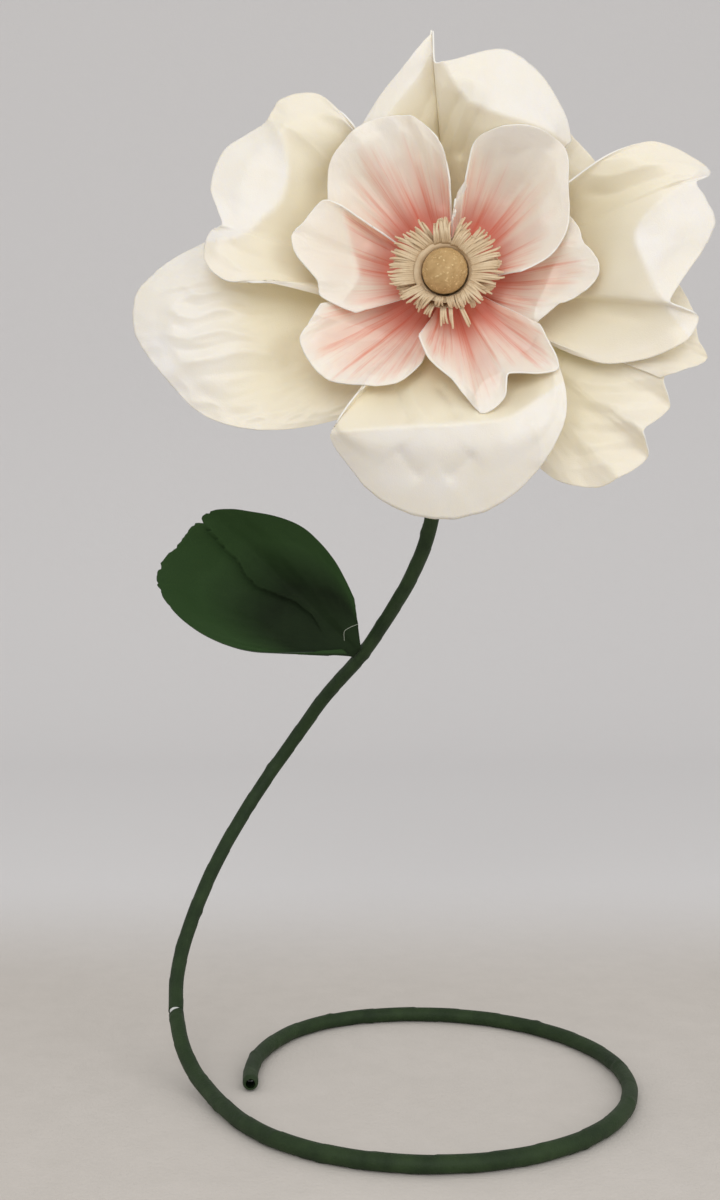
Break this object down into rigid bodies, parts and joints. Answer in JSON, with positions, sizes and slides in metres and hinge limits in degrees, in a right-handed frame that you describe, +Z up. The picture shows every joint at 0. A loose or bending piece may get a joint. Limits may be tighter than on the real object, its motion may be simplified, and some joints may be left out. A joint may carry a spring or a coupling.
{
  "type": "giant paper flower",
  "caption": "Giant open craft flower on a wrapped bendable stem that coils into a ring on the floor, with a fringed centre and one leaf.",
  "frame": {"origin": "middle of the footprint, on the floor", "axes": "+Z up; the bloom faces -Y, the leaf points to -X"},
  "size_m": [0.6952, 0.6026, 1.2704],
  "materials": {
    "petal_cream": "satin",
    "petal_blush": "satin",
    "stamen_beige": "matte",
    "ball_gold": "satin",
    "stem_green": "matte",
    "leaf_green": "matte",
    "pipe_white": "satin",
    "hub_white": "matte",
    "wire_green": "satin"
  },
  "bodies": {
    "root": {"core_pipe": "pipe_white", "lower_wrap": "stem_green", "upper_wrap": "stem_green", "petal_hub": "hub_white", "outer_petal_top": "petal_cream", "outer_petal_upper_left": "petal_cream", "outer_petal_upper_right": "petal_cream", "outer_petal_bottom": "petal_cream", "outer_petal_left": "petal_cream", "outer_petal_lower_right": "petal_cream", "outer_petal_right": "petal_cream", "outer_petal_top_right": "petal_cream", "inner_petal_top_left": "petal_blush", "inner_petal_top_right": "petal_blush", "inner_petal_right": "petal_blush", "inner_petal_bottom": "petal_blush", "inner_petal_lower_left": "petal_blush", "inner_petal_left": "petal_blush", "stamen_fringe_outer": "stamen_beige", "stamen_fringe_inner": "stamen_beige", "centre_ball": "ball_gold", "leaf_blade": "leaf_green", "leaf_wire": "wire_green"}
  },
  "joints": []
}
